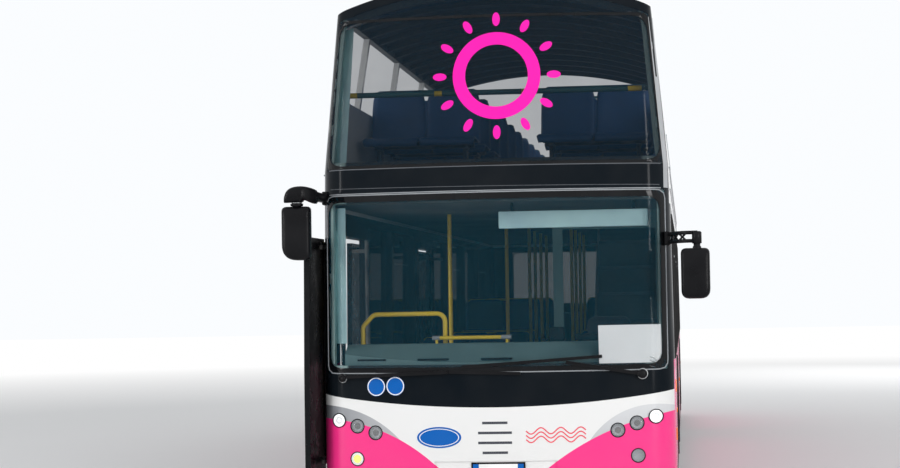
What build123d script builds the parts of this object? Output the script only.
from build123d import *
import math
import os

# Open-top double-deck sightseeing bus, in millimetres.
# The bus faces -Y, +X is the driver's side, +Z is up, and z = 0 is the ground.
# A depth is a length measured back from the middle of the nose.
# A seat gap is left between pieces that rest on each other, a running fit round pins.

# Overall sizes
body_length = 11300
body_width = 2550
half_width = body_width / 2
mirror_reach = 90
nose_y = mirror_reach - body_length / 2
seat_gap = 0.3
running_fit = 0.06
wall = 60

# Heights of the body's section lines
skirt_height = 300
belt_height = 1087
deck_seam_height = 2365
band_top_height = 2550
parapet_height = 3100
roof_edge_height = 3715
roof_crown_height = 3905
envelope_height = roof_crown_height + 115

# How far the skin has leaned in at each line
seam_lean = 12
band_lean = 15
upper_slope = 0.095
envelope_lean = band_lean + upper_slope * (envelope_height - band_top_height)

# Plan of the body
front_radius = 5000
front_corner_radius = 250
rear_corner_radius = 140
front_seam = 300
rear_seam = body_length - 260

# Front skins and the frame behind them
mask_thickness = 25
glass_thickness = 10
frame_thickness = 50
mask_top_end = 955
mask_top_middle = 839
glass_half_low = 1225
glass_half_high = 1130
glass_border = 55
plate_recess_half = 435
plate_recess_top = 460
plate_recess_depth = 12
# Front lamps: distance from the middle, height, radius
lamp_table = [(1140, 754, 49), (1000, 711, 49), (865, 664, 49), (1005, 482, 40)]
lamp_depth = 20
lamp_bulge = 3

# Axles and wheels
front_axle_depth = 2750
wheelbase = 5350
rear_axle_depth = front_axle_depth + wheelbase
tyre_radius = 490
rim_seat_radius = 286
wheel_centre = 1100
inner_twin_centre = 770
arch_radius = 600
spindle_radius = 40
rear_spindle_radius = 55
hand_holes = 10
hand_hole_radius = 24
hand_hole_circle = 219

# Steering
kingpin_offset = 900
kingpin_radius = 22
eye_half = 50
eye_radius = 50
lug_thickness = 40
lug_radius = 42
web_offset = 56
web_thickness = 30
steer_arm = 180
steer_arm_half = 22
drop_pin_radius = 14
tie_rod_height = 252
tie_rod_radius = 16
tie_eye_radius = 28
tie_eye_half = 20
beam_top = 285
beam_bottom = 165
spring_seat = 365

# Chassis
chassis_start = 120
rail_offset = 420
rear_rail_offset = 300
rail_half = 40
rail_height = 110
rear_rail_bottom = 300
rear_rail_top = 350
cross_depths = [160, 1150, 1900, 3600, 4800, 5900]
tow_socket_x = 300
tow_socket_height = 245
tow_socket_radius = 20
tow_socket_depth = 80
engine_half = 420
engine_start = 9380
engine_top = 1180
spring_radius = 105
front_spring_radius = 76

# Decks
floor_bottom = 300
floor_top = 360
platform_depth = 6900
platform_bottom = 640
platform_top = 700
bulkhead_depth = 9300
bulkhead_thickness = 40
shelf_height = 1350
cab_floor_height = 600
cab_inner = 250
cab_end = 1760
upper_floor_bottom = 2300
upper_floor_top = 2400
house_inner = 585
house_plate = 12
# Wheelhouses: depth of the axle, half length, bottom, top
house_table = [(front_axle_depth, 670, floor_bottom, 1080), (rear_axle_depth, 620, platform_bottom, 1060)]

# Doors: each doorway has two leaves that swing out and along the side
door_openings = [600, 4300]
doorway_width = 1100
doorway_top = 2090
header_height = 70
leaf_gap = 8
leaf_thickness = 40
leaf_recess = 5
leaf_bottom = 330
leaf_top = 2072
leaf_lip = 45
pane_recess = 15
pane_bottom = leaf_bottom + 60
pane_rail = [1050, 1130]
pane_top = leaf_top - 60
post_inset = 78
post_from_jamb = 30
post_radius = 18
arm_reach_along = 280
arm_swing = 158
arm_width = 30
arm_thickness = 30
arm_heights = [420, 1990]
arm_pin_radius = 12
arm_pin_length = 24
bracket_thickness = 20

# Windows of the lower deck: start depth and end depth, the rear ones at one pitch
window_sill = 1150
window_head = 2200
window_length = 1250
window_pitch = 1350
window_row_start = 5500
last_window_start = body_length - 480 - window_length
row_count = int((last_window_start - window_row_start) / window_pitch) + 1
rear_windows = [window_row_start + window_pitch * n for n in range(row_count)]
window_row = [(start, start + window_length) for start in rear_windows]
left_windows = [(450, 1350), (1450, 2700), (2800, 4050), (4150, 5400)] + window_row
right_windows = [(1800, 2950), (3050, 4200)] + window_row

# Back of the bus
engine_door_half = 900
engine_door_bottom = 480
engine_door_top = 1330
engine_door_gap = 6
engine_door_thickness = 30
rear_window_half = 950
rear_window_bottom = 1500
hinge_radius = 14
hinge_pin_radius = 6
hinge_length = 80
hinge_offset = 700
rear_lamp_table = [(1120, 1180), (1120, 1040), (1120, 900)]
rear_lamp_radius = 55
louvre_height = 22
louvre_pitch = 52
louvre_count = 9
louvre_half = 620
side_grille = (body_length - 1500, body_length - 600)
side_grille_bottom = 480

# Canopy over the front half of the upper deck
canopy_start = 620
canopy_end = 5600
canopy_half_width = 1115
canopy_thickness = 28
cap_thickness = 68
rib_pitch = 400
rib_width = 36
rib_depth = 42
edge_rail_depth = 60
post_depths = [1200, 2650, 4100, 5550]
post_size = 50
post_half = 23

# Stairs from the lower floor, behind the driver's side, up towards the rear
stair_start = 3560
stair_going = 235
stair_risers = 8
stair_inner = 520
stair_outer = 1160
stair_plate = 14
stair_end = stair_start + (stair_risers - 1) * stair_going

# Seats: the side profile of a bench for two, as depth and height over its floor
seat_profile = [(0, 400), (0, 448), (40, 460), (400, 440), (470, 880), (520, 880), (470, 400)]
seat_leg = [(120, 0), (360, 0), (300, 400), (180, 400)]
seat_pitch = 760
seat_width = 880
aisle_half = 240
first_upper_row = 1100
last_upper_row = body_length - 1300
lower_rows = [(3500, -1), (5560, -1), (5560, 1), (6280, -1), (6280, 1)]
platform_rows = [6950, 8745]
house_rows = [-590, 20]

# Cab
dash_half = 1100
dash_low = 950
dash_front_top = 1120
dash_top = 1285
dash_slope_end = 300
dash_top_end = 500
dash_back = 560
vent_table = [(-1011, -786), (-562, -332), (-102, 127)]
vent_height = 14
vent_level = 1172
steer_x = 750
steer_hub = (750, 860, 1180)
steer_ring_radius = 225
steer_ring_tube = 14
driver_x = [520, 980]
driver_depth = 1150

# Rails
pole_radius = 17
front_rail_height = 3112
front_rail_depth = 345
front_rail_radius = 20
guard_height = 950
side_rail_rise = 160
side_rail_posts = 5
# Poles of the lower deck: x, depth, height of the floor they stand on
pole_table = [(-235, 3380, floor_top), (215, 5480, floor_top), (-215, 5480, floor_top),
              (215, 6160, floor_top), (-215, 6160, floor_top), (215, 6920, platform_top),
              (-215, 6920, platform_top), (215, 7700, platform_top), (-215, 7700, platform_top),
              (-560, 1950, floor_top)]
# Hoop on the dashboard beside the front door, as x and height
hoop_depth = 470
hoop_points = [(-1018, dash_top), (-1018, 1415), (-935, 1503), (-406, 1503), (-406, dash_top)]
handle_x = [-490, 86]
handle_rise = 40

# Mirrors: side, inner edge, outer edge, bottom, top, height of the arm's root
mirror_table = [(-1, 1280, 1488, 1900, 2295, 2440), (1, 1325, 1535, 1580, 1940, 2030)]
mirror_depths = [-150, -60]
mirror_foot_x = 1250
mirror_foot_radius = 30

# Wipers: pivot, end of the arm, start and end of the blade, each as x and height
wiper_table = [((1030, 1060), (510, 1150), (764, 1187), (-227, 1127)),
               ((-1108, 1062), (-330, 1092), (-853, 1108), (187, 1076))]


def at_depth(depth):
    return nose_y + depth


front_y = at_depth(front_axle_depth)

# Body sections: height and how far the skin has leaned in
sections = {
    "skirt": (skirt_height, 0),
    "belt": (belt_height, 0),
    "deck_seam": (deck_seam_height, seam_lean),
    "band_top": (band_top_height, band_lean),
    "envelope": (envelope_height, envelope_lean),
}


def skin_x(low, high, height):
    """Half width of the skin at a height between two named sections."""
    z0, lean0 = sections[low]
    z1, lean1 = sections[high]
    return half_width - lean0 - (lean1 - lean0) * (height - z0) / (z1 - z0)


def block(x0, x1, d0, d1, z0, z1):
    """A box between two corners, with depths along the bus."""
    size = (abs(x1 - x0), d1 - d0, z1 - z0)
    centre = ((x0 + x1) / 2, at_depth((d0 + d1) / 2), (z0 + z1) / 2)
    return Pos(*centre) * Box(*size)


def side_prism(points, x0, x1):
    """A side profile of (depth, height) points, run across the bus."""
    line = Polyline(*[(x0, at_depth(d), z) for d, z in points], close=True)
    return extrude(make_face(line), amount=x1 - x0, dir=(1, 0, 0))


def front_prism(points, d0, d1):
    """A front profile of (x, height) points, run along the bus."""
    line = Polyline(*[(x, at_depth(d0), z) for x, z in points], close=True)
    return extrude(make_face(line), amount=d1 - d0, dir=(0, 1, 0))


def rod_x(x0, x1, depth, z, radius):
    return Pos((x0 + x1) / 2, at_depth(depth), z) * Rot(0, 90, 0) * Cylinder(radius, abs(x1 - x0))


def rod_y(x, d0, d1, z, radius):
    return Pos(x, at_depth((d0 + d1) / 2), z) * Rot(90, 0, 0) * Cylinder(radius, d1 - d0)


def rod_z(x, depth, z0, z1, radius):
    return Pos(x, at_depth(depth), (z0 + z1) / 2) * Cylinder(radius, z1 - z0)


def rod_between(start, end, radius):
    """A round bar between two (x, depth, z) points."""
    a = Vector(start[0], at_depth(start[1]), start[2])
    b = Vector(end[0], at_depth(end[1]), end[2])
    circle = Plane(origin=a, z_dir=(b - a).normalized()) * Circle(radius)
    return extrude(circle, amount=(b - a).length)


def body_plan(height, inset):
    """Outline of the body at one height: a bowed nose, round corners and straight sides."""
    w = half_width - inset
    bow = front_radius - inset
    corner = front_corner_radius - inset
    rear = max(rear_corner_radius - inset, 20)
    centre = at_depth(front_radius)
    tail = at_depth(body_length) - inset
    corner_x = w - corner
    corner_y = centre - math.sqrt((bow - corner) ** 2 - corner_x ** 2)
    # The bow and the corner meet on the line through their centres
    reach = bow / (bow - corner)
    meet = (corner_x * reach, centre + (corner_y - centre) * reach)
    # The corner's middle lies halfway between that line and the side
    ux = corner_x / (bow - corner) + 1
    uy = (corner_y - centre) / (bow - corner)
    turn_x = corner_x + corner * ux / math.hypot(ux, uy)
    turn_y = corner_y + corner * uy / math.hypot(ux, uy)
    bend = rear * (1 - math.sqrt(0.5))
    z = height
    edges = [
        ThreePointArc((-meet[0], meet[1], z), (0, centre - bow, z), (meet[0], meet[1], z)),
        ThreePointArc((meet[0], meet[1], z), (turn_x, turn_y, z), (w, corner_y, z)),
        Line((w, corner_y, z), (w, tail - rear, z)),
        ThreePointArc((w, tail - rear, z), (w - bend, tail - bend, z), (w - rear, tail, z)),
        Line((w - rear, tail, z), (rear - w, tail, z)),
        ThreePointArc((rear - w, tail, z), (bend - w, tail - bend, z), (-w, tail - rear, z)),
        Line((-w, tail - rear, z), (-w, corner_y, z)),
        ThreePointArc((-w, corner_y, z), (-turn_x, turn_y, z), (-meet[0], meet[1], z)),
    ]
    return Wire(edges)


def envelope(low, high, inset):
    """The closed body between two named sections, moved in from its skin."""
    z0, lean0 = sections[low]
    z1, lean1 = sections[high]
    face = make_face(body_plan(z0, lean0 + inset))
    angle = math.degrees(math.atan((lean1 - lean0) / (z1 - z0)))
    if angle == 0:
        return extrude(face, amount=z1 - z0, dir=(0, 0, 1))
    return extrude(face, amount=z1 - z0, dir=(0, 0, 1), taper=angle)


def shell(low, high, outer, inner):
    return envelope(low, high, outer) - envelope(low, high, inner)


def save(name, *pieces):
    solids = []
    for piece in pieces:
        solids.extend(piece.solids())
    export_step(Compound(solids), f"parts/{name}.step")


os.makedirs("parts", exist_ok=True)

# Regions that split the shell into its panels
beyond = 100
tail_end = body_length + beyond
upper_rake = envelope_lean - band_lean
front_region = side_prism([(-400, skirt_height - beyond), (front_seam, skirt_height - beyond),
                           (front_seam, band_top_height), (front_seam + upper_rake, envelope_height),
                           (-400, envelope_height)], -body_width, body_width)
rear_region = block(-body_width, body_width, rear_seam, tail_end, skirt_height - beyond, envelope_height)
left_half = block(0, body_width, -400, tail_end, skirt_height - beyond, envelope_height)
right_half = block(-body_width, 0, -400, tail_end, skirt_height - beyond, envelope_height)
below_parapet = block(-body_width, body_width, -400, tail_end, skirt_height, parapet_height)

skirt_wall = shell("skirt", "belt", 0, wall)
saloon_wall = shell("belt", "deck_seam", 0, wall)
band_wall = shell("deck_seam", "band_top", 0, wall)
upper_wall = shell("band_top", "envelope", 0, wall)


def arched_zone(half, z_end, z_middle, d0, d1, floor, shoulder=0):
    """Everything under an arched line and its level shoulders, down to the floor given, between two depths."""
    y = at_depth(d0)
    curve = ThreePointArc((-half, y, z_end), (0, y, z_middle), (half, y, z_end))
    side = [(half, y, z_end)]
    if shoulder:
        side.append((half + shoulder, y, z_end))
    side.append((half + shoulder, y, floor))
    rest = Polyline(*side, *[(-x, y, z) for x, y, z in reversed(side)])
    return extrude(make_face([*curve.edges(), *rest.edges()]), amount=d1 - d0, dir=(0, 1, 0))


def under_roof(drop, d0, d1):
    """Everything under the roof's curve, lowered by a drop."""
    rise = roof_crown_height - roof_edge_height
    radius = (canopy_half_width ** 2 + rise ** 2) / (2 * rise)
    reach = skin_x("band_top", "envelope", roof_edge_height)
    fall = radius - math.sqrt(radius ** 2 - reach ** 2)
    crown = roof_crown_height - drop
    return arched_zone(reach, crown - fall, crown, d0, d1, deck_seam_height, half_width - reach)


def glass_prism(inset, low, d0, d1):
    """The upper windscreen's outline seen from the front, which narrows upwards."""
    slope = (glass_half_low - glass_half_high) / (roof_edge_height - cap_thickness - band_top_height)
    wide = glass_half_low - inset - slope * (low - band_top_height)
    narrow = glass_half_low - inset - slope * (envelope_height - band_top_height)
    points = [(-wide, low), (wide, low), (narrow, envelope_height), (-narrow, envelope_height)]
    return front_prism(points, d0, d1)


def make_mask():
    """The painted mask, its lamps and the dark panel over it."""
    skin = shell("skirt", "belt", 0, mask_thickness) & front_region
    low = arched_zone(half_width + beyond, mask_top_end, mask_top_middle, -400, 600, skirt_height - beyond)
    mask = skin & low
    back = mask_thickness + seat_gap
    frame = shell("skirt", "belt", back, back + frame_thickness) & front_region
    lamps = []
    bowl = envelope("skirt", "belt", -lamp_bulge) - envelope("skirt", "belt", mask_thickness + lamp_depth)
    for distance, height, radius in lamp_table:
        for side in (-1, 1):
            x = side * distance
            mask -= rod_y(x, -300, 500, height, radius + seat_gap)
            frame -= rod_y(x, -300, 500, height, radius + 8)
            lamps.append(bowl & rod_y(x, -300, 260, height, radius))
    recess = block(-plate_recess_half, plate_recess_half, -300, 200, skirt_height - beyond, plate_recess_top)
    mask -= recess - envelope("skirt", "belt", plate_recess_depth)
    save("front_mask", mask)
    save("front_lamps", *lamps)
    return skin - low, frame


def make_front():
    """Windscreens, dark panels round them and the frame behind."""
    panel, frame = make_mask()
    band = shell("deck_seam", "band_top", 0, glass_thickness) & front_region
    under_cap = under_roof(cap_thickness, -400, 1200)
    skin_low = shell("belt", "deck_seam", 0, glass_thickness) & front_region
    skin_high = shell("band_top", "envelope", 0, glass_thickness) & front_region & under_cap
    pane_low = block(-glass_half_low, glass_half_low, -400, 500, belt_height, deck_seam_height)
    pane_high = glass_prism(0, band_top_height, -400, 1200)
    save("windscreen_lower", skin_low & pane_low)
    save("windscreen_upper", skin_high & pane_high)
    save("front_panels", panel + (skin_low - pane_low) + band + (skin_high - pane_high))

    back = glass_thickness + seat_gap
    under_frame = under_roof(cap_thickness + seat_gap, -400, 1200)
    upper_frame = shell("band_top", "envelope", back, back + frame_thickness) & front_region & under_frame
    middle_frame = shell("belt", "deck_seam", back, back + frame_thickness) & front_region
    band_frame = shell("deck_seam", "band_top", back, back + frame_thickness) & front_region
    clear = glass_half_low - glass_border
    opening_low = block(-clear, clear, -400, 500, belt_height + glass_border, deck_seam_height - glass_border)
    opening_high = glass_prism(glass_border, band_top_height + glass_border, -400, 1200)
    opening_high = opening_high & under_roof(cap_thickness + glass_border, -400, 1200)
    frame = frame + (middle_frame - opening_low) + band_frame + (upper_frame - opening_high)
    save("front_frame", frame)
    cap = (envelope("band_top", "envelope", 0) & under_roof(0, -400, canopy_start)) - under_cap
    save("roof_cap", cap)


def window_block(side, start, end, sill, head):
    inner, outer = side * (half_width - 3 * wall), side * (half_width + beyond)
    return block(inner, outer, start, end, sill, head)


def louvres(make_slot, bottom):
    """A column of level slots, one above another."""
    slots = [make_slot(bottom + row * louvre_pitch) for row in range(louvre_count)]
    return slots[0].fuse(*slots[1:])


def make_sides():
    walls = {}
    for side, half in ((1, left_half), (-1, right_half)):
        piece = (skirt_wall + saloon_wall) & half
        piece = piece - front_region - rear_region
        for depth in (front_axle_depth, rear_axle_depth):
            piece -= rod_x(-body_width, body_width, depth, tyre_radius, arch_radius)
        walls[side] = piece
    pane_layer = shell("belt", "deck_seam", 0, glass_thickness) - front_region - rear_region
    panes = []
    for side, table in ((1, left_windows), (-1, right_windows)):
        for start, end in table:
            cut = window_block(side, start, end, window_sill, window_head)
            walls[side] -= cut
            panes.append(pane_layer & cut)
    window = block(-rear_window_half, rear_window_half, body_length - 200, tail_end,
                   rear_window_bottom, window_head)
    panes.append(shell("belt", "deck_seam", 0, glass_thickness) & window)
    save("window_glass", *panes)

    inner = -half_width + wall
    for start in door_openings:
        end = start + doorway_width
        walls[-1] -= window_block(-1, start, end, skirt_height - beyond, doorway_top)
        walls[-1] += block(inner - wall / 2, inner + wall, start, end, doorway_top, doorway_top + header_height)
        # The side is built in sections that meet at the door jambs
        for joint in (start - seat_gap, end):
            walls[-1] -= window_block(-1, joint, joint + seat_gap, skirt_height - beyond, band_top_height)
    walls[1] -= louvres(lambda z: window_block(1, *side_grille, z, z + louvre_height), side_grille_bottom)
    save("side_left", walls[1])
    save("side_right", walls[-1])

    for half, name in ((left_half, "parapet_left"), (right_half, "parapet_right")):
        piece = (band_wall + (upper_wall & below_parapet)) & half
        save(name, piece - front_region - rear_region)
    save("parapet_rear", (band_wall + (upper_wall & below_parapet)) & rear_region)


def make_rear():
    wall_piece = (skirt_wall + saloon_wall) & rear_region
    wall_piece -= block(-engine_door_half, engine_door_half, body_length - 200, tail_end,
                        engine_door_bottom, engine_door_top)
    wall_piece -= block(-rear_window_half, rear_window_half, body_length - 200, tail_end,
                        rear_window_bottom, window_head)
    lamps = []
    lamp_start = body_length - wall / 2
    for distance, height in rear_lamp_table:
        for side in (-1, 1):
            x = side * distance
            wall_piece -= rod_y(x, lamp_start, tail_end, height, rear_lamp_radius + seat_gap)
            lamps.append(rod_y(x, lamp_start + seat_gap, body_length + 8, height, rear_lamp_radius))
    save("rear_lamps", *lamps)

    axis_depth = body_length + hinge_radius
    axis_z = engine_door_top + hinge_radius
    gap = engine_door_gap
    door_start = body_length - engine_door_thickness
    door = block(-engine_door_half + gap, engine_door_half - gap, door_start, body_length,
                 engine_door_bottom + gap, engine_door_top - gap)
    door -= louvres(lambda z: block(-louvre_half, louvre_half, door_start - 20, tail_end, z, z + louvre_height),
                    engine_door_bottom + 120)
    for side in (-1, 1):
        x0 = side * hinge_offset - hinge_length / 2
        x1 = x0 + hinge_length
        door += rod_x(x0, x1, axis_depth, axis_z, hinge_radius)
        door += block(x0, x1, body_length, body_length + 8, engine_door_top - 120, axis_z)
        door -= rod_x(x0, x1, axis_depth, axis_z, hinge_pin_radius + running_fit)
        wall_piece += rod_x(x0 - 20, x1 + 20, axis_depth, axis_z, hinge_pin_radius)
        for ear in (x0 - 20, x1 + seat_gap):
            wall_piece += block(ear, ear + 20 - seat_gap, body_length - 10, axis_depth + hinge_radius,
                                axis_z - hinge_radius, axis_z + hinge_radius + 20)
    save("engine_door", door)
    save("rear_wall", wall_piece)


def make_floors():
    edge = half_width - wall - seat_gap
    inside = envelope("skirt", "belt", wall + seat_gap)
    floor = block(-edge, edge, front_seam, platform_depth, floor_bottom, floor_top)
    floor += block(cab_inner, edge, front_seam, cab_end, floor_top, cab_floor_height)
    floor = floor & inside
    high_edge = skin_x("belt", "deck_seam", shelf_height) - wall - seat_gap
    rear = block(-edge, edge, platform_depth, bulkhead_depth, platform_bottom, platform_top)
    rear += block(-edge, edge, platform_depth - 40, platform_depth, floor_top, platform_top)
    rear += front_prism([(-edge, platform_bottom), (-edge, belt_height), (-high_edge, shelf_height),
                         (high_edge, shelf_height), (edge, belt_height), (edge, platform_bottom)],
                        bulkhead_depth, bulkhead_depth + bulkhead_thickness)
    rear += block(-edge + 100, edge - 100, bulkhead_depth, body_length - 2 * wall,
                  shelf_height, shelf_height + bulkhead_thickness)
    houses = []
    for depth, half, base, top in house_table:
        for side in (-1, 1):
            box = block(side * house_inner, side * edge, depth - half, depth + half, base, top)
            hollow = block(side * (house_inner + house_plate), side * body_width, depth - half + house_plate,
                           depth + half - house_plate, base - 50, top - house_plate)
            houses.append(box - hollow)
            opening = block(side * (house_inner - seat_gap), side * body_width, depth - half - seat_gap,
                            depth + half + seat_gap, base - 50, top)
            if base == floor_bottom:
                floor -= opening
            else:
                rear -= opening
    save("lower_floor", floor)
    save("rear_platform", rear)
    save("wheelhouses", *houses)

    lean = half_width - skin_x("deck_seam", "band_top", upper_floor_top)
    outline = body_plan(upper_floor_bottom, lean + wall + seat_gap)
    slab = extrude(make_face(outline), amount=upper_floor_top - upper_floor_bottom, dir=(0, 0, 1))
    slab -= block(stair_inner - 10, stair_outer + 10, stair_start - 60, stair_end,
                  upper_floor_bottom - beyond, upper_floor_top + beyond)
    # The deck is laid in panels that meet at both ends of the stairwell
    for joint in (stair_start - 60 - seat_gap, stair_end):
        slab -= block(-body_width, body_width, joint, joint + seat_gap, upper_floor_bottom, upper_floor_top)
    save("upper_floor", slab)


def make_stairs():
    rise = (upper_floor_top - floor_top) / stair_risers
    points = []
    for step in range(stair_risers):
        depth = stair_start + step * stair_going
        points.append((depth, floor_top + step * rise))
        points.append((depth, floor_top + (step + 1) * rise))
    points = points[:-1]
    under = [(d + stair_plate, z - stair_plate) for d, z in reversed(points[1:])]
    profile = points + [(stair_end, points[-1][1] - stair_plate)]
    profile += [p for p in under if p[0] < stair_end and p[1] > floor_top]
    profile.append((stair_start + stair_plate, floor_top))
    plate = side_prism(profile, stair_inner, stair_outer)
    cheek = side_prism([(stair_start, floor_top), (stair_start, floor_top + rise + 60),
                        (stair_end, upper_floor_bottom - seat_gap), (stair_end, floor_top + 1300),
                        (stair_start + 500, floor_top)], stair_inner - 24, stair_inner)
    save("stairs", plate + cheek)


def wheel_profile(points, centre, side, depth):
    """A closed outline of offset from the wheel's middle plane and radius, spun round the axle."""
    line = Polyline(*[(centre + side * x, at_depth(depth), tyre_radius + r) for x, r in points], close=True)
    axis = Axis((0, at_depth(depth), tyre_radius), (1, 0, 0))
    return revolve(make_face(line), axis=axis, revolution_arc=360)


def hand_hole_ring(x0, x1, depth):
    """Round holes through a wheel's disc, evenly spaced."""
    holes = []
    for n in range(hand_holes):
        angle = 2 * math.pi * n / hand_holes
        along, up = hand_hole_circle * math.cos(angle), hand_hole_circle * math.sin(angle)
        holes.append(rod_x(x0, x1, depth + along, tyre_radius + up, hand_hole_radius))
    return holes[0].fuse(*holes[1:])


# Tyre section: offset and radius, bead to tread and back
tyre_side = [(-112, rim_seat_radius), (-136, 340), (-140, 400), (-128, 462), (-106, tyre_radius)]
tyre_points = tyre_side + [(-x, r) for x, r in reversed(tyre_side)]
rim_edge = rim_seat_radius - seat_gap
rim_well = 262
front_bore = spindle_radius + running_fit
rear_bore = rear_spindle_radius + running_fit
# Front rim section: barrel, dished disc, hub and cap
front_rim_points = [(-128, rim_edge), (-128, rim_well), (52, rim_well), (92, 178), (92, 100), (40, 100),
                    (40, front_bore), (104, front_bore), (104, 12), (138, 12), (138, 74), (112, 96),
                    (108, 184), (72, rim_well), (128, rim_well), (128, rim_edge)]
# Twin rims on one hub: the inner barrel, discs back to back, the hub and the outer barrel
twin_step = wheel_centre - inner_twin_centre
disc = -twin_step / 2
barrel_outer = rim_well + 6
twin_rim_points = [(-128 - twin_step, rim_edge), (-128 - twin_step, rim_well), (disc - 125, rim_well),
                   (disc - 20, 200), (disc - 20, 110), (disc - 65, 100), (disc - 65, rear_bore),
                   (60, rear_bore), (60, 14), (95, 14), (95, 85), (60, 100), (disc + 20, 110),
                   (disc + 20, 200), (disc + 105, rim_well), (128, rim_well), (128, rim_edge),
                   (-128, rim_edge), (-128, barrel_outer), (128 - twin_step, barrel_outer),
                   (128 - twin_step, rim_edge)]


def make_wheels():
    for side, name in ((1, "left"), (-1, "right")):
        centre = side * wheel_centre
        save(f"tyre_front_{name}", wheel_profile(tyre_points, centre, side, front_axle_depth))
        rim = wheel_profile(front_rim_points, centre, side, front_axle_depth)
        rim -= hand_hole_ring(centre + side * 30, centre + side * 135, front_axle_depth)
        save(f"rim_front_{name}", rim)
        outer = wheel_profile(tyre_points, centre, side, rear_axle_depth)
        inner = wheel_profile(tyre_points, side * inner_twin_centre, side, rear_axle_depth)
        save(f"tyres_rear_{name}", outer, inner)
        rims = wheel_profile(twin_rim_points, centre, side, rear_axle_depth)
        rims -= hand_hole_ring(centre + side * (disc - 130), centre + side * 60, rear_axle_depth)
        save(f"rims_rear_{name}", rims)


def make_front_axle():
    z = tyre_radius
    # Half of the dropped beam, seen from the front, notched where the steering arm sweeps
    notch = z - eye_half - lug_thickness
    half = [(600, beam_top), (612, spring_seat), (772, spring_seat), (776, z + eye_half),
            (kingpin_offset, z + eye_half), (kingpin_offset, z - eye_half), (812, z - eye_half),
            (812, notch - 5), (826, notch - 20), (770, beam_bottom)]
    beam = front_prism(half + [(-x, height) for x, height in reversed(half)],
                       front_axle_depth - lug_radius, front_axle_depth + lug_radius)
    for side in (-1, 1):
        beam += rod_z(side * kingpin_offset, front_axle_depth, z - eye_half, z + eye_half, eye_radius)
    for side in (-1, 1):
        beam -= rod_z(side * kingpin_offset, front_axle_depth, z - 2 * eye_half, z + 2 * eye_half,
                      kingpin_radius + running_fit)
    save("front_axle", beam)


def make_knuckles():
    z = tyre_radius
    d = front_axle_depth
    low = z - eye_half - seat_gap
    high = z + eye_half + seat_gap
    for side, name in ((1, "left"), (-1, "right")):
        x = side * kingpin_offset
        web = x + side * web_offset
        web_end = web + side * web_thickness
        knuckle = rod_z(x, d, low - lug_thickness, high + lug_thickness, kingpin_radius)
        for z0, z1 in ((low - lug_thickness, low), (high, high + lug_thickness)):
            knuckle += rod_z(x, d, z0, z1, lug_radius)
            knuckle += block(x, web_end, d - lug_radius, d + lug_radius, z0, z1)
        knuckle += block(web, web_end, d - lug_radius, d + lug_radius, low - lug_thickness, high + lug_thickness)
        knuckle += rod_x(web_end, side * (wheel_centre + 98), d, z, spindle_radius)
        arm_low, arm_high = low - lug_thickness, low - 8
        knuckle += block(x - steer_arm_half, x + steer_arm_half, d, d + steer_arm, arm_low, arm_high)
        knuckle += rod_z(x, d + steer_arm, arm_low, arm_high, tie_eye_radius)
        knuckle += rod_z(x, d + steer_arm, tie_rod_height - tie_eye_half, arm_low, drop_pin_radius)
        save(f"knuckle_{name}", knuckle)

    rod = rod_x(-kingpin_offset, kingpin_offset, d + steer_arm, tie_rod_height, tie_rod_radius)
    for side in (-1, 1):
        rod += rod_z(side * kingpin_offset, d + steer_arm, tie_rod_height - tie_eye_half,
                     tie_rod_height + tie_eye_half, tie_eye_radius)
    for side in (-1, 1):
        rod -= rod_z(side * kingpin_offset, d + steer_arm, tie_rod_height - 60, tie_rod_height + 60,
                     drop_pin_radius + running_fit)
    save("tie_rod", rod)


def make_rear_axle():
    d = rear_axle_depth
    tip = wheel_centre + 54
    half = [(tip, rear_spindle_radius), (600, rear_spindle_radius), (560, 90), (220, 95), (120, 138)]
    outline = half + [(-x, r) for x, r in reversed(half)] + [(-tip, 0), (tip, 0)]
    axle = wheel_profile(outline, 0, 1, d)
    spring_top = 400
    spring_shift = 320
    beam_reach = spring_shift + 100
    for side in (-1, 1):
        x = side * 450
        axle += block(x - 50, x + 50, d - beam_reach, d + beam_reach, spring_top - 50, spring_top)
        axle += block(x - 50, x + 50, d - 60, d + 60, spring_top - 10, tyre_radius - 50)
    save("rear_axle", axle)

    springs = []
    for side in (-1, 1):
        for shift in (-spring_shift, spring_shift):
            springs.append(rod_z(side * 450, d + shift, spring_top + seat_gap, platform_bottom - seat_gap,
                                 spring_radius))
        front_x = side * 693
        bracket = block(side * (house_inner + house_plate), side * 775, front_axle_depth - 90,
                        front_axle_depth + 90, 640, 668)
        springs.append(bracket + rod_z(front_x, front_axle_depth, spring_seat + seat_gap, 650,
                                       front_spring_radius))
    save("air_springs", *springs)


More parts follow.
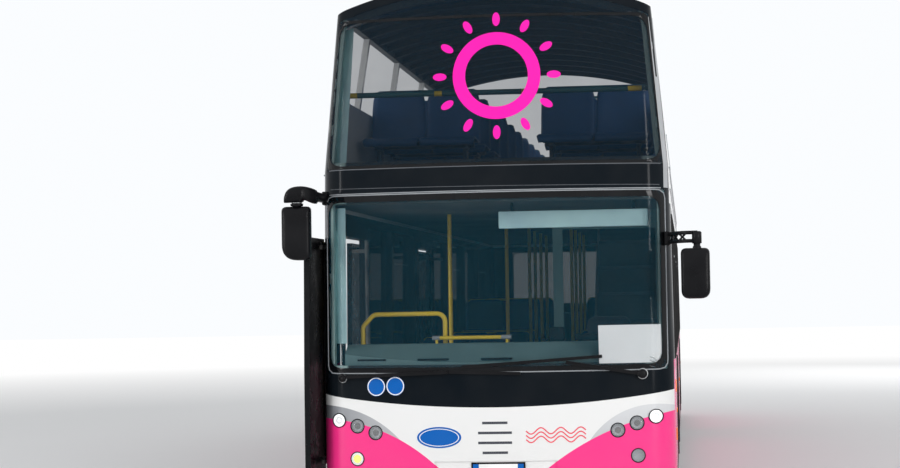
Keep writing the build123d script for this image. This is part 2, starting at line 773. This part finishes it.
def make_chassis():
    top = floor_bottom
    low = top - rail_height
    gap_start = front_axle_depth - 150
    gap_end = front_axle_depth + steer_arm + 80
    tail = body_length - 400
    slope_end = platform_depth + 660
    pieces, bridges = [], []
    for side in (-1, 1):
        x0 = side * rail_offset - rail_half
        x1 = x0 + 2 * rail_half
        pieces.append(block(x0, x1, chassis_start, gap_start, low, top))
        pieces.append(block(x0, x1, gap_end, platform_depth, low, top))
        # A shallow length of rail is let in over the axle and the tie rod
        bridges.append(block(x0, x1, gap_start + seat_gap, gap_end - seat_gap, beam_top + 3, top))
        x0 = side * rear_rail_offset - rail_half
        pieces.append(side_prism([(platform_depth - 120, low), (platform_depth, low), (slope_end, rear_rail_bottom),
                                  (tail, rear_rail_bottom), (tail, rear_rail_top), (slope_end, rear_rail_top),
                                  (platform_depth, top), (platform_depth - 120, top)], x0, x0 + 2 * rail_half))
    reach = rail_offset + rail_half
    for depth in cross_depths + [platform_depth - 100]:
        pieces.append(block(-reach, reach, depth - rail_half, depth + rail_half, low + 20, top))
    reach = rear_rail_offset + rail_half
    for depth in (slope_end - 60, rear_axle_depth + 660, engine_start + 320, tail - 60):
        pieces.append(block(-reach, reach, depth - rail_half, depth + rail_half, rear_rail_bottom, rear_rail_top))
    pieces.append(rod_y(tow_socket_x, 100, 200, tow_socket_height, tow_socket_radius + 14))
    frame = pieces[0].fuse(*pieces[1:])
    frame -= rod_y(tow_socket_x, 50, 100 + tow_socket_depth, tow_socket_height, tow_socket_radius)
    save("chassis_frame", frame, *bridges)
    save("engine_block", block(-engine_half, engine_half, engine_start, tail - 20, rear_rail_top, engine_top))


def make_canopy():
    width = canopy_half_width
    low = roof_edge_height - 2 * edge_rail_depth
    outline = block(-width, width, canopy_start, canopy_end, low, envelope_height)
    sheet = under_roof(0, canopy_start, canopy_end) - under_roof(canopy_thickness, 0, canopy_end + beyond)
    sheet = sheet & outline
    for side in (-1, 1):
        sheet += block(side * width, side * (width - post_size), canopy_start, canopy_end,
                       roof_edge_height - edge_rail_depth, roof_edge_height)
    band = under_roof(canopy_thickness, 0, canopy_end) - under_roof(canopy_thickness + rib_depth, 0, canopy_end)
    inside = width - post_size
    depth = canopy_start + rib_pitch / 2
    while depth + rib_width < canopy_end:
        sheet += band & block(-inside, inside, depth, depth + rib_width, low, envelope_height)
        depth += rib_pitch
    save("canopy", sheet)

    posts = []
    x_low = skin_x("band_top", "envelope", parapet_height) - wall / 2
    x_high = width - post_size / 2
    top = roof_edge_height - edge_rail_depth
    for depth in post_depths:
        for side in (-1, 1):
            points = [(side * x_low - post_half, parapet_height), (side * x_low + post_half, parapet_height),
                      (side * x_high + post_half, top), (side * x_high - post_half, top)]
            posts.append(front_prism(points, depth, depth + post_size))
    save("canopy_posts", *posts)


def turn(piece, x, depth, angle):
    """A piece turned about an upright line."""
    return piece.rotate(Axis((x, at_depth(depth), 0), (0, 0, 1)), angle)


def make_leaf(leaf_start, leaf_end):
    """A leaf in its closed place, with its two panes sunk into it."""
    face = leaf_recess - half_width
    lean = seam_lean / (deck_seam_height - belt_height)
    top_face = face + lean * (leaf_top - belt_height)
    t = leaf_thickness
    leaf = front_prism([(face, leaf_bottom), (face, belt_height), (top_face, leaf_top), (top_face + t, leaf_top),
                        (face + t, belt_height), (face + t, leaf_bottom)], leaf_start, leaf_end)
    outside = front_prism([(face - 50, leaf_bottom), (face - 50, leaf_top), (top_face + pane_recess, leaf_top),
                           (face + pane_recess, belt_height), (face + pane_recess, leaf_bottom)],
                          leaf_start + leaf_lip, leaf_end - leaf_lip)
    for z0, z1 in ((pane_bottom, pane_rail[0]), (pane_rail[1], pane_top)):
        leaf -= outside & block(-body_width, face + t, leaf_start, leaf_end, z0, z1)
    return leaf


def make_doors():
    post_x = post_inset - half_width
    half = arm_width / 2
    face = leaf_recess - half_width
    lean = seam_lean / (deck_seam_height - belt_height)
    leaf_width = doorway_width / 2 - 2 * leaf_gap
    number = 0
    for start, resting in zip(door_openings, (arm_swing, 0)):
        for direction in (1, -1):
            number += 1
            jamb = start if direction == 1 else start + doorway_width
            post_d = jamb + direction * post_from_jamb
            pivot_d = post_d + direction * arm_reach_along
            ends = sorted((jamb + direction * leaf_gap, jamb + direction * (leaf_gap + leaf_width)))
            leaf = make_leaf(*ends)
            arm = rod_z(post_x, post_d, floor_top + seat_gap, doorway_top - seat_gap, post_radius)
            # Where the pivot goes as the arm swings out
            along = direction * arm_reach_along
            open_x = -arm_reach_along * math.sin(math.radians(arm_swing))
            open_d = along * math.cos(math.radians(arm_swing))
            for z in arm_heights:
                z1 = z + arm_thickness
                # The cranked arm is drawn with the door open, then turned back to the closed place
                leg = block(post_x + open_x - half, post_x, post_d - half, post_d + half, z, z1)
                d0, d1 = sorted((post_d, post_d + open_d))
                leg += block(post_x + open_x - half, post_x + open_x + half, d0, d1, z, z1)
                leg += rod_z(post_x + open_x, post_d + open_d, z, z1, half + 3)
                leg += rod_z(post_x + open_x, post_d + open_d, z1, z1 + arm_pin_length, arm_pin_radius)
                arm += turn(leg, post_x, post_d, -direction * arm_swing)
                z2 = z1 + seat_gap
                inner_face = face + leaf_thickness + lean * max(z2 - belt_height, 0)
                bracket = block(inner_face - 4, post_x, pivot_d - half, pivot_d + half, z2, z2 + bracket_thickness)
                bracket += rod_z(post_x, pivot_d, z2, z2 + bracket_thickness, half + 6)
                bracket -= rod_z(post_x, pivot_d, z2 - 5, z2 + 30, arm_pin_radius + running_fit)
                leaf += bracket
            if resting:
                arm = turn(arm, post_x, post_d, direction * resting)
                leaf = leaf.translate(Vector(open_x, open_d - along, 0))
            save(f"door_arm_{number}", arm)
            save(f"door_leaf_{number}", leaf)


def seat(x0, x1, depth, height, with_legs=True):
    """One bench for two, facing forward."""
    shape = side_prism([(depth + d, height + z) for d, z in seat_profile], x0, x1)
    if with_legs:
        for x in (x0 + 60, x1 - 100):
            shape += side_prism([(depth + d, height + z) for d, z in seat_leg], x, x + 40)
    return shape


def make_seats():
    inner, outer = aisle_half, aisle_half + seat_width
    seats = []
    depth = first_upper_row
    while depth < last_upper_row:
        seats.append(seat(-outer, -inner, depth, upper_floor_top))
        if depth + 560 < stair_start - 60 or depth > stair_end + 40:
            seats.append(seat(inner, outer, depth, upper_floor_top))
        depth += seat_pitch
    save("upper_seats", *seats)
    seats = []
    for depth, side in lower_rows:
        x0, x1 = sorted((side * inner, side * outer))
        seats.append(seat(x0, x1, depth, floor_top))
    for side in (-1, 1):
        x0, x1 = sorted((side * inner, side * outer))
        for depth in platform_rows:
            seats.append(seat(x0, x1, depth, platform_top))
        x0, x1 = sorted((side * (house_inner + 30), side * (house_inner + 560)))
        house_top = house_table[1][3]
        cushion = house_top - seat_profile[0][1] + seat_gap
        for shift in house_rows:
            seats.append(seat(x0, x1, rear_axle_depth + shift, cushion, with_legs=False))
    save("lower_seats", *seats)
    save("driver_seat", seat(*driver_x, driver_depth, cab_floor_height))


def make_cab():
    low = side_prism([(0, dash_low), (0, belt_height), (dash_back, belt_height), (dash_top_end, dash_low)],
                     -dash_half, dash_half)
    low = low & envelope("skirt", "belt", mask_thickness + frame_thickness + 2 * seat_gap)
    high = side_prism([(0, belt_height), (0, dash_front_top), (dash_slope_end, dash_top), (dash_top_end, dash_top),
                       (dash_back, belt_height)], -dash_half, dash_half)
    high = high & envelope("belt", "deck_seam", glass_thickness + frame_thickness + 2 * seat_gap)
    for x0, x1 in vent_table:
        high -= block(x0, x1, 0, dash_slope_end / 2, vent_level, vent_level + vent_height)
    x, depth, z = steer_hub
    console = block(steer_x - 370, dash_half, dash_top_end, 780, 900, dash_front_top)
    column = rod_between((x, depth - 220, z - 280), steer_hub, 32)
    pedestal = block(x - 60, x + 60, 560, 700, cab_floor_height, 910)
    save("dashboard", low + high + console + column + pedestal)

    tilt = Vector(0, 220, 280).normalized()
    centre = Vector(x, at_depth(depth), z) + tilt * (seat_gap + 12)
    plane = Plane(origin=centre, z_dir=tilt)
    ring = plane * Cylinder(steer_ring_radius + steer_ring_tube, 2 * steer_ring_tube)
    ring -= plane * Cylinder(steer_ring_radius - steer_ring_tube, 4 * steer_ring_tube)
    ring = chamfer(ring.edges(), steer_ring_tube * 0.55)
    wheel = ring + plane * Cylinder(45, 24)
    for angle in (90, 210, 330):
        wheel += plane * Rot(0, 0, angle) * Pos(steer_ring_radius / 2, 0, 0) * Box(steer_ring_radius - 20, 34, 14)
    save("steering_wheel", wheel)

    low_edge = half_width - wall - seat_gap
    high_edge = skin_x("belt", "deck_seam", upper_floor_bottom) - wall - seat_gap
    panel = front_prism([(cab_inner + 50, floor_top), (cab_inner + 50, upper_floor_bottom),
                         (high_edge, upper_floor_bottom), (low_edge, belt_height), (low_edge, floor_top)],
                        cab_end + 10, cab_end + 30)
    panel -= block(cab_inner + 130, dash_half + 30, cab_end, cab_end + 60, 1250, 2150)
    save("cab_partition", panel)


def make_rails():
    poles = [rod_z(x, depth, base, upper_floor_bottom, pole_radius) for x, depth, base in pole_table]
    path = FilletPolyline(*[(x, at_depth(hoop_depth), z) for x, z in hoop_points], radius=60)
    foot = Plane(origin=path @ 0, z_dir=path % 0)
    poles.append(sweep(foot * Circle(pole_radius), path=path))
    x0, x1 = handle_x
    bar_z = dash_top + handle_rise
    handle = rod_x(x0, x1, dash_top_end - 100, bar_z, pole_radius - 3)
    for x in (x0 + 30, x1 - 30):
        handle += rod_z(x, dash_top_end - 100, dash_top, bar_z, pole_radius - 7)
    poles.append(handle)
    save("lower_handrails", *poles)

    front_rail = rod_x(-half_width, half_width, front_rail_depth, front_rail_height, front_rail_radius)
    front_rail = front_rail & envelope("band_top", "envelope", glass_thickness + frame_thickness + 2 * seat_gap)

    rail_z = parapet_height + side_rail_rise
    x = skin_x("band_top", "envelope", parapet_height) - wall / 2
    start, end = canopy_end + 350, body_length - envelope_lean / 2 - wall / 2
    rail = rod_x(-x, x, end - 20, rail_z, 18)
    for side in (-1, 1):
        rail += rod_y(side * x, start, end, rail_z, 20)
        for n in range(side_rail_posts):
            depth = start + 25 + (end - start - 300) * n / (side_rail_posts - 1)
            rail += rod_z(side * x, depth, parapet_height, rail_z, 16)
    guard_x = stair_inner - 60
    guard_z = upper_floor_top + guard_height
    guard = rod_y(guard_x, stair_start - 60, stair_end, guard_z, 18)
    for depth in (stair_start - 40, (stair_start + stair_end) / 2, stair_end - 20):
        guard += rod_z(guard_x, depth, upper_floor_top, guard_z, 14)
    save("upper_handrails", front_rail, rail, guard)


def make_mirrors():
    heads = []
    d0, d1 = mirror_depths
    arm_depth = (d0 + d1) / 2
    for side, x0, x1, z0, z1, root in mirror_table:
        head = block(side * x0, side * x1, d0, d1, z0, z1)
        head = fillet(head.edges().filter_by(Axis.Y), 58)
        head = chamfer(head.edges().group_by(Axis.Y)[0], 22)
        middle = side * (x0 + x1) / 2
        arm = rod_between((side * mirror_foot_x, 225, root), (middle, arm_depth, root - 20), 24)
        arm += rod_y(side * mirror_foot_x, 195, 330, root, mirror_foot_radius)
        arm = arm - envelope("belt", "deck_seam", -seat_gap) - envelope("deck_seam", "band_top", -seat_gap)
        heads.append(head + arm + rod_z(middle, arm_depth, z1 - 30, root + 8, 28))
    save("mirrors", *heads)


def flat_bar(start, end, height):
    """A deep bar between two (x, height) points, to be trimmed to the glass."""
    angle = math.degrees(math.atan2(end[1] - start[1], end[0] - start[0]))
    length = math.hypot(end[0] - start[0], end[1] - start[1])
    place = Pos((start[0] + end[0]) / 2, at_depth(100), (start[1] + end[1]) / 2)
    return place * Rot(0, -angle, 0) * Box(length, 1200, height)


def make_wipers():
    pieces = []
    for pivot, middle, start, end in wiper_table:
        # Each bar with the distances from the glass between which it lies
        bars = [(flat_bar(start, end, 22), seat_gap, 16), (flat_bar(pivot, middle, 24), 14, 30),
                (rod_y(pivot[0], -100, 300, pivot[1], 26), seat_gap, 34)]
        wiper = []
        for bar, near, far in bars:
            for low, high in (("skirt", "belt"), ("belt", "deck_seam")):
                layer = envelope(low, high, -far) - envelope(low, high, -near)
                piece = layer & (bar & front_region)
                if piece:
                    wiper.extend(piece.solids())
        pieces.append(wiper[0].fuse(*wiper[1:]))
    save("wipers", *pieces)


make_front()
make_sides()
make_rear()
make_floors()
make_stairs()
make_wheels()
make_front_axle()
make_knuckles()
make_rear_axle()
make_chassis()
make_canopy()
make_doors()
make_seats()
make_cab()
make_rails()
make_mirrors()
make_wipers()
